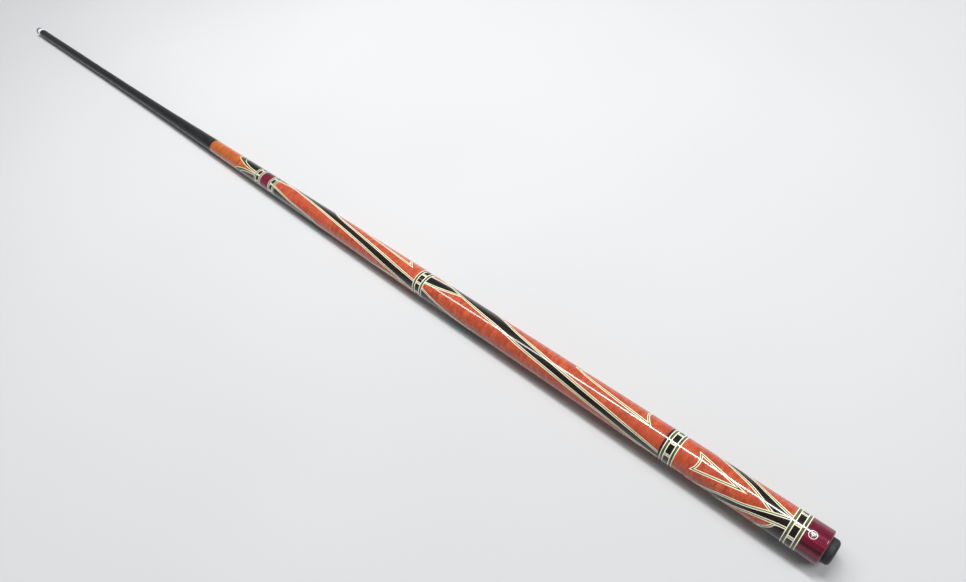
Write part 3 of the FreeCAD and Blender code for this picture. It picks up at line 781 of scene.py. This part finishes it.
def rubber_bumper():
    """A rubber plug with a rounded rim, a dished end face and a ribbed stem."""
    rim = outer_radius("rubber_bumper")
    stem_end = far_end("rubber_bumper")
    dish, dish_radius, dish_edge = 0.9, 3.6, 0.4
    rounding, fullness = 3.0, 1.3
    profile = [(dish, 0.0), *arc((dish - dish_edge, dish_radius), dish_edge, 0, 90, 4)]
    profile += [(0.5, 5.4), (0.2, 5.7), (0.0, 6.1), (0.0, rim - rounding * fullness)]
    for place, radius in arc((rounding, 0.0), rounding, 180, 90, 8)[1:]:
        profile.append((place, rim + (radius - rounding) * fullness))
    profile += [(CAP_START - 1.3, rim), (CAP_START - 1.1, rim - 0.18), (CAP_START - 0.9, rim)]
    profile += [(CAP_START, rim), (CAP_START, BUMPER_STEM)]
    crest = BUMPER_STEM + 0.1
    for place in BUMPER_RIBS:
        profile += [(place, BUMPER_STEM), (place + 0.4, crest), (place + 0.9, crest),
                    (place + 1.2, BUMPER_STEM)]
    profile += [(stem_end - 0.8, BUMPER_STEM), (stem_end, BUMPER_STEM - 0.8), (stem_end, 0.0)]
    turned("bumper_plug", profile, "bumper", RUBBER, "bumper_rubber", ["rubber_bumper"], step=3.0)


EMBLEM_PLACE = 18.5
EMBLEM_ANGLE = 85.0
EMBLEM_RADIUS = 3.3
EMBLEM_DEPTH = 0.8
PEARL_KIND = "pearl"

# Radii as shares of the emblem's: the star's corners in turn, its eye, and its ring's inside.
STAR_SHARES = (0.78, 0.26, 0.46, 0.26)
EYE_SHARE = 0.13
RING_SHARE = 0.84


def butt_cap():
    """The striped cap, with a generic star in a ring laid into it."""
    turn = math.degrees(1 / outline_radius(EMBLEM_PLACE))

    def outline(shares, steps):
        """A closed line about the emblem's centre, with radii that take the shares in turn."""
        line = []
        for n in range(steps):
            around = 2 * math.pi * n / steps
            radius = EMBLEM_RADIUS * shares[n % len(shares)]
            line.append((EMBLEM_PLACE + radius * math.cos(around),
                         EMBLEM_ANGLE + turn * radius * math.sin(around)))
        return line

    regions = [
        (WOOD, outline([EYE_SHARE], 12)),
        (PEARL_KIND, outline(STAR_SHARES, 16)),
        (WOOD, outline([RING_SHARE], 40)),
        (PEARL_KIND, outline([1.0], 40)),
    ]
    triangles = divide(CAP_START, RING_FIVE_START, regions, 1)
    cap = pocketed_piece(triangles, EMBLEM_DEPTH, CORE_RADIUS)
    cap.finish("cap", "butt", [CRIMSON_WOOD], "crimson_wood", ["butt_cap"])
    mark = inlay_piece(triangles, [PEARL_KIND], EMBLEM_DEPTH)
    mark.finish("cap_mark", "butt", [PEARL], "pearl_inlay", ["cap_emblem"])


# A decorative ring's layers from its edge to its blocks, as shares of its length: a disc,
# a band and a disc. Then its blocks' and bars' angles.
LAYER_SHARES = (0.06, 0.17, 0.065)
BLOCK_COUNT = 8
BLOCK_ANGLE = 34.5
BAR_ANGLE = 10.5
BAR_EDGE_SHARE = 0.28
BAR_LINES = 5


def decorative_ring(name, start, end, first_bar, bore=CORE_RADIUS, body="butt"):
    """A ring of thin discs and green bands round ebony blocks and striped bars.

    The first bar's angle says how the blocks and bars lie round the axis.
    """
    edges = [start]
    for share in LAYER_SHARES:
        edges.append(edges[-1] + share * (end - start))
    edges += [start + end - edge for edge in reversed(edges)]
    discs = Piece()
    bands = Piece()
    for piece, layers in ((discs, (0, 2, 4, 6)), (bands, (1, 5))):
        for layer in layers:
            ring_sector(piece, edges[layer], edges[layer + 1], bore)
    discs.finish(name + "_discs", body, [PALE_DISC], "pale_trim", [name + "_pale_discs"])
    bands.finish(name + "_bands", body, [GREEN_BAND], "green_trim", [name + "_green_bands"])

    blocks = Piece()
    bars = Piece()
    for n in range(BLOCK_COUNT):
        centre = first_bar + n * 360 / BLOCK_COUNT
        for low, high, slot in bar_layers(centre):
            ring_sector(bars, edges[3], edges[4], bore, low, high, slot)
        middle = centre + 180 / BLOCK_COUNT
        ring_sector(blocks, edges[3], edges[4], bore, middle - BLOCK_ANGLE / 2, middle + BLOCK_ANGLE / 2)
    blocks.finish(name + "_blocks", body, [EBONY_WOOD], "ebony", [name + "_ebony_blocks"])
    bars.finish(name + "_striped_bars", body, [PALE_VENEER, GREEN_VENEER], "bar_veneer", [name + "_bars"])


def bar_layers(centre):
    """A bar's veneers as (low angle, high angle, slot): pale edges and fine lines between."""
    low = centre - BAR_ANGLE / 2
    edge = BAR_ANGLE * BAR_EDGE_SHARE
    line = (BAR_ANGLE - 2 * edge) / BAR_LINES
    layers = [(low, low + edge, 0)]
    for n in range(BAR_LINES):
        first = low + edge + n * line
        layers.append((first, first + line, 1 - n % 2))
    return [*layers, (low + BAR_ANGLE - edge, low + BAR_ANGLE, 0)]


def section(name, start, end, regions, copies=2, body="butt", wood=STAINED_MAPLE, slot="stained_maple",
            bore=CORE_RADIUS):
    """An inlaid section: its wood, its ebony and its veneers."""
    triangles = divide(start, end, regions, copies)
    timber = pocketed_piece(triangles, INLAY_DEPTH, bore)
    timber.finish(name + "_wood", body, [wood], slot, [name])
    ebony = inlay_piece(triangles, [EBONY], INLAY_DEPTH)
    ebony.finish(name + "_ebony_inlay", body, [EBONY_WOOD], "ebony", [name + "_ebony"])
    veneers = inlay_piece(triangles, [PALE, GREEN], INLAY_DEPTH)
    veneers.finish(name + "_veneer_lines", body, [PALE_VENEER, GREEN_VENEER], "inlay_veneer",
                   [name + "_veneers"])


def butt_sleeve():
    """The rear section: crossing bands, an arrow in their fork, and a scallop at the rear."""
    start, mirror = SLEEVE_START, 78.5
    low = [(-2, 58.5), (9.5, 50), (24.5, 35), (34.5, 22), (44.5, 8), (57, -12), (62, -22)]
    high = [(-2, 91), (15.5, 69.5), (24.5, 57), (34.5, 44), (44.5, 35), (54.5, 24), (66, 8), (77, -12),
            (82, -22)]
    other_low = [(-2, 61), (7, 68), (15.5, 77), (24.5, 92), (34.5, 108), (44.5, 119.5), (54.5, 132),
                 (66, 149), (77, 169), (82, 179)]
    other_high = [(-2, 94), (9.5, 104), (24.5, 121), (34.5, 136.5), (44.5, 150), (57, 169), (62, 179)]
    limb = [(40, mirror), (78.7, 49.3)]
    base = [(78.7, 49.3), (77, 62), (76.3, mirror)]
    half_widths = [(-2, 70), (7.5, 61.5), (10, 46.5), (14, 29.5), (18, 14.5), (20.5, 0)]
    scallop = ogive(half_widths, mirror - 90, start)
    regions = band(start, low, high) + band(start, other_low, other_high)
    regions += arrow(start, limb, base, mirror)
    regions += [(kind, outline, 1) for kind, outline in [*veneer_strip(scallop), (EBONY, scallop)]]
    section("butt_sleeve", start, RING_FOUR_START, regions)


def handle():
    """The middle section: long twisting bands that cross at the front, and arrows at the rear."""
    start, centre = HANDLE_START, 138
    low = [(-2, 1), (25.5, 12), (55.5, 28), (105.5, 50), (155.5, 71), (185.5, 88), (215.5, 102),
           (245.5, 120), (264.5, 140), (292, 167)]
    high = [(-2, 27), (15.5, 38), (55.5, 57), (95.5, 75), (125.5, 90), (155.5, 106), (175.5, 120),
            (195.5, 145), (215.5, 172), (235.5, 187), (255.5, 198), (275.5, 215), (292, 232)]
    crossing_low = [(240, 126), (255.5, 107), (275.5, 88), (292, 78)]
    crossing_high = [(240, 131), (255.5, 137), (275.5, 131), (292, 123)]
    crossing_edge = [(262, 138), *crossing_high[2:]]
    limb = [(100, centre), (90, 125), (75.5, 116), (55.5, 108), (35.5, 101), (17, 95)]
    base = [(17, 95), (20, 108), (22.5, 122), (23.5, centre)]
    regions = band(start, low, high) + arrow(start, limb, base, centre)
    regions += veneer_strip(smooth_line(crossing_edge, start))
    regions += band(start, crossing_low, crossing_high, (True, False))
    section("handle", start, RING_THREE_START, regions)


def forearm():
    """The front section of the butt, laid out like the handle."""
    start, centre = FOREARM_START, 155
    low = [(-2, 12), (31.5, 33), (51.5, 44), (91.5, 66), (131.5, 84), (151.5, 93), (191.5, 112),
           (221.5, 127), (263, 152)]
    high = [(-2, 58), (31.5, 72), (71.5, 91), (111.5, 109), (136.5, 123), (151.5, 142), (171.5, 188),
            (191.5, 207), (221.5, 218), (251.5, 239), (263, 248)]
    crossing_low = [(230, 136), (250, 125), (263, 115)]
    crossing_high = [(230, 139), (250, 145), (263, 152)]
    limb = [(105, centre), (90, 140), (61.5, 128), (41.5, 120), (15, 112)]
    base = [(15, 112), (18, 122), (21, 134), (23, centre)]
    regions = band(start, low, high) + arrow(start, limb, base, centre)
    regions += band(start, crossing_low, crossing_high, (True, False))
    section("forearm", start, RING_TWO_START, regions)


# The joint's thread has 14 turns to the inch.
JOINT_PITCH = 25.4 / 14
THREAD_STEP = 10.0
PIN_ROOT = 3.3
PIN_NOSE = 3.0
NOSE_RADIUS = 3.1
INSERT_CREST = 4.04
INSERT_ROOT = 4.5


def helical(name, node, crest, root, body, material, slot, nose=0.0, outer=0.0):
    """A threaded rod, or with an outer radius a threaded sleeve, with a real helix."""
    start, end = near_end(node), far_end(node)
    tooth = ((0.0, root), (0.14, root), (0.42, crest), (0.58, crest), (0.86, root))
    columns = round(360 / THREAD_STEP)
    rows = (math.ceil((end - start) / JOINT_PITCH) + 2) * len(tooth)
    piece = Piece()

    def corner(column, row):
        """The thread's point in a column round the axis and a row along it."""
        share, radius = tooth[row % len(tooth)]
        place = start + JOINT_PITCH * (row // len(tooth) + share + column / columns - 1)
        if not start < place < end:
            place, radius = min(max(place, start), end), root
        if nose and place > end - nose:
            radius = min(radius, crest - (place - end + nose) / nose * (crest - NOSE_RADIUS))
        return piece.point(place, radius, column * THREAD_STEP)

    for column in range(columns):
        low, high = column * THREAD_STEP, (column + 1) * THREAD_STEP
        for row in range(rows):
            face = [corner(column, row), corner(column + 1, row), corner(column + 1, row + 1),
                    corner(column, row + 1)]
            piece.face(face[::-1] if outer else face)
        for place, row, reverse in ((start, 0, not outer), (end, rows, bool(outer))):
            face = [corner(column, row), corner(column + 1, row)]
            face += piece.within([(place, high), (place, low)], outer)
            piece.face(face[::-1] if reverse else face)
        if outer:
            piece.face(piece.within([(start, low), (start, high), (end, high), (end, low)], outer))
    piece.finish(name, body, [material], slot, [node], smooth=28)


def build_butt():
    """Everything that stays with the butt."""
    rubber_bumper()
    butt_cap()
    decorative_ring("ring_five", RING_FIVE_START, SLEEVE_START, first_bar=40)
    butt_sleeve()
    decorative_ring("ring_four", RING_FOUR_START, DARK_RING_START, first_bar=40)
    turned("dark_ring", shell_profile(DARK_RING_START, HANDLE_START, CORE_RADIUS), "butt", DARK_TRIM,
           "dark_trim", ["handle_dark_ring"])
    handle()
    decorative_ring("ring_three", RING_THREE_START, FOREARM_START, first_bar=17)
    forearm()
    decorative_ring("ring_two", RING_TWO_START, COLLAR_START, first_bar=23)
    turned("collar", shell_profile(COLLAR_START, JOINT_FACE, CORE_RADIUS), "butt", CRIMSON_WOOD,
           "crimson_wood", ["joint_collar"])
    helical("pin_thread", "joint_pin", outer_radius("joint_pin"), PIN_ROOT, "butt", STEEL, "steel",
            nose=PIN_NOSE)
    set_finish("core_dowel", PLAIN_MAPLE)
    set_finish("weight_bolt", STEEL)
    set_finish("weight_bolt_lock_ring", NYLON)


# The shaft ----------------------------

BASE_ANGLE = 7
BASE_LINE = 0.75


def shaft_base():
    """The shaft's wooden base: three ebony points in two pale lines with green between."""
    point_half = [(-2, 48), (6.5, 46), (16.5, 41), (26.5, 30), (31.5, 18), (34, 0)]
    veneer_half = [(-2, 59.5), (16.5, 54), (26.5, 47), (36.5, 35), (43.5, 22), (46.5, 0)]
    regions = []
    for kind, half_widths in ((EBONY, point_half), (GREEN, veneer_half)):
        edge = ogive(half_widths, BASE_ANGLE, BASE_START)
        inside = 1 if signed_area(edge) > 0 else -1
        regions += [(kind, beside(edge, BASE_LINE * inside)), (PALE, edge)]
    section("shaft_base", BASE_START, DARK_TRIM_START, regions, copies=3, body="shaft", wood=AMBER_MAPLE,
            slot="amber_maple", bore=SHAFT_CORE_RADIUS)


TUBE_WALL = 1.3
TENON_RADIUS = 3.6
TIP_DOME = 10.6
LAYER_HEIGHT = 0.62
LAYER_GROOVE = 0.05
GROOVE_SIDE = 0.08


def leather_tip():
    """A layered leather tip with a domed top."""
    shoulder = TIP_TOP - TIP_DOME + math.sqrt(TIP_DOME ** 2 - TIP_RADIUS ** 2)
    profile = [(TIP_START, 0.0), (TIP_START, TIP_RADIUS)]
    place = TIP_START + LAYER_HEIGHT
    while place < shoulder - LAYER_HEIGHT / 2:
        profile += [(place - GROOVE_SIDE, TIP_RADIUS), (place, TIP_RADIUS - LAYER_GROOVE),
                    (place + GROOVE_SIDE, TIP_RADIUS)]
        place += LAYER_HEIGHT
    half_angle = math.degrees(math.asin(TIP_RADIUS / TIP_DOME))
    profile += arc((TIP_TOP - TIP_DOME, 0.0), TIP_DOME, half_angle, 0, 10)[:-1]
    profile += [(TIP_TOP, 0.0)]
    turned("tip", profile, "shaft", TIP_LEATHER, "tip_leather", ["leather_tip"], smooth=20)


def ferrule():
    """The pale sleeve behind the tip, with its front edge eased."""
    profile = [(FERRULE_START, TENON_RADIUS), (FERRULE_START, TIP_RADIUS), (TIP_START - 0.3, TIP_RADIUS),
               (TIP_START, TIP_RADIUS - 0.1), (TIP_START, TENON_RADIUS)]
    turned("ferrule_sleeve", profile, "shaft", FERRULE, "ferrule_resin", ["ferrule"])


def carbon_tube():
    """The hollow tapered tube."""
    places = [TUBE_START, *outline_corners(TUBE_START, FERRULE_START), FERRULE_START]
    outside = [(place, outline_radius(place)) for place in places]
    inside = [(place, radius - TUBE_WALL) for place, radius in reversed(outside)]
    turned("tube", outside + inside, "shaft", CARBON, "carbon_fibre", ["carbon_tube"])


def build_shaft():
    """Everything that unscrews with the shaft."""
    decorative_ring("ring_one", JOINT_FACE, BASE_START, first_bar=27, bore=SHAFT_CORE_RADIUS, body="shaft")
    shaft_base()
    turned("dark_line", shell_profile(DARK_TRIM_START, TUBE_START, SHAFT_CORE_RADIUS), "shaft", DARK_TRIM,
           "dark_trim", ["shaft_dark_trim"])
    carbon_tube()
    ferrule()
    leather_tip()
    helical("insert_thread", "joint_insert", INSERT_CREST, INSERT_ROOT, "shaft_carrier", BRASS, "brass",
            outer=outer_radius("joint_insert"))
    set_finish("shaft_core", PLAIN_MAPLE)
    set_finish("foam_core", FOAM)
    set_finish("ferrule_tenon", NYLON)


build_butt()
build_shaft()


# Stage --------------------------------

FLOOR_SIZE = 25000.0
WORLD_COLOUR = (0.93, 0.96, 1.0, 1)

# How high the horizon's and the overhead light are, and how strong.
HORIZON_HEIGHT, HORIZON_STRENGTH = 0.02, 0.60
OVERHEAD_HEIGHT, OVERHEAD_STRENGTH = 0.40, 0.17

KEY_ENERGY, KEY_SPREAD = 1.5, 25
KEY_DIRECTION = Vector((-0.50, -0.30, 0.85))
STRIP_WIDTH = 210

# The camera was fitted to the cue's straight outline in the photo.
LENS = 25.82
SENSOR_WIDTH = 36.0
CAMERA_PLACE = Vector((14.97, 181.47, 578.12))
CAMERA_FORWARD = Vector((0.51366, -0.29303, -0.80641))
CAMERA_RIGHT = Vector((-0.72718, -0.64751, -0.2279))


def lay_floor():
    """A plain pale floor, which touches the cue at the forearm's rear end and at the tip."""
    low, high = outline_radius(FOREARM_START), TIP_RADIUS
    slope = (low - high) / (TIP_START - FOREARM_START)
    corners = []
    for x, y in ((-1, -1), (1, -1), (1, 1), (-1, 1)):
        place = TIP_TOP / 2 + x * FLOOR_SIZE
        corners.append(Vector((place, y * FLOOR_SIZE, -low + slope * (place - FOREARM_START))) * MM)
    mesh = bpy.data.meshes.new("floor")
    mesh.from_pydata(corners, [], [(0, 1, 2, 3)])
    shader = Shader("floor", Roughness=0.85, Specular_IOR_Level=0.2)
    cloud = shader.noise(1.5, 1.5, detail=2.0)
    shader.to("Base Color", shader.ramp(cloud, (0.3, (0.535, 0.54, 0.545)), (0.7, (0.575, 0.58, 0.585))))
    mesh.materials.append(shader.material)
    item = add_object("floor", mesh)


def stand(item, place, right, up, back):
    """Put a lamp or a camera at a place, with its axes in three directions."""
    item.matrix_world = Matrix.Translation(place) @ Matrix((right, up, back)).transposed().to_4x4()


def strip_light(name, start, end, power):
    """A long thin lamp between two points, facing the cue."""
    start, end = Vector(start) * MM, Vector(end) * MM
    along = (end - start).normalized()
    middle = (start + end) / 2
    away = middle - Vector((middle.x, 0, 0))
    away = (away - along * away.dot(along)).normalized()
    lamp = bpy.data.lights.new(name, "AREA")
    lamp.shape = "RECTANGLE"
    lamp.size = (end - start).length
    lamp.size_y = STRIP_WIDTH * MM
    lamp.energy = power
    item = add_object(name, lamp)
    stand(item, middle, along, away.cross(along), away)
    item.visible_camera = False


def light_world():
    """Soft light from all round, brighter near the horizon than overhead."""
    world = bpy.data.worlds.new("studio")
    world.use_nodes = True
    tree = world.node_tree
    background = tree.nodes["Background"]
    background.inputs["Color"].default_value = WORLD_COLOUR
    direction = add_node(tree, "ShaderNodeTexCoord").outputs["Generated"]
    height = add_node(tree, "ShaderNodeSeparateXYZ", {"Vector": direction}).outputs["Z"]
    strength = add_node(tree, "ShaderNodeMapRange", {
        "Value": height, "From Min": HORIZON_HEIGHT, "From Max": OVERHEAD_HEIGHT,
        "To Min": HORIZON_STRENGTH, "To Max": OVERHEAD_STRENGTH,
    }).outputs["Result"]
    tree.links.new(strength, background.inputs["Strength"])
    bpy.context.scene.world = world


def light_scene():
    """Light from the world, a soft key from behind the butt, and two thin strips above."""
    light_world()
    sun = bpy.data.lights.new("key", "SUN")
    sun.energy = KEY_ENERGY
    sun.angle = math.radians(KEY_SPREAD)
    key = add_object("key", sun)
    key.matrix_world = KEY_DIRECTION.to_track_quat("Z", "Y").to_matrix().to_4x4()
    strip_light("strip_rear", (20, -459, 1500), (920, -459, 1500), 20)
    strip_light("strip_front", (930, -334, 1500), (1480, 70, 1500), 8)


def place_camera():
    """The camera, above the butt's side and looking along the cue."""
    lens = bpy.data.cameras.new("camera")
    lens.sensor_width = SENSOR_WIDTH
    lens.lens = LENS
    lens.clip_start = 0.01
    lens.clip_end = 100
    forward = CAMERA_FORWARD.normalized()
    right = CAMERA_RIGHT
    right = (right - forward * right.dot(forward)).normalized()
    camera = add_object("camera", lens)
    stand(camera, CAMERA_PLACE * MM, right, right.cross(forward), -forward)
    bpy.context.scene.camera = camera


lay_floor()
light_scene()
place_camera()
bpy.context.scene.view_settings.view_transform = "Standard"
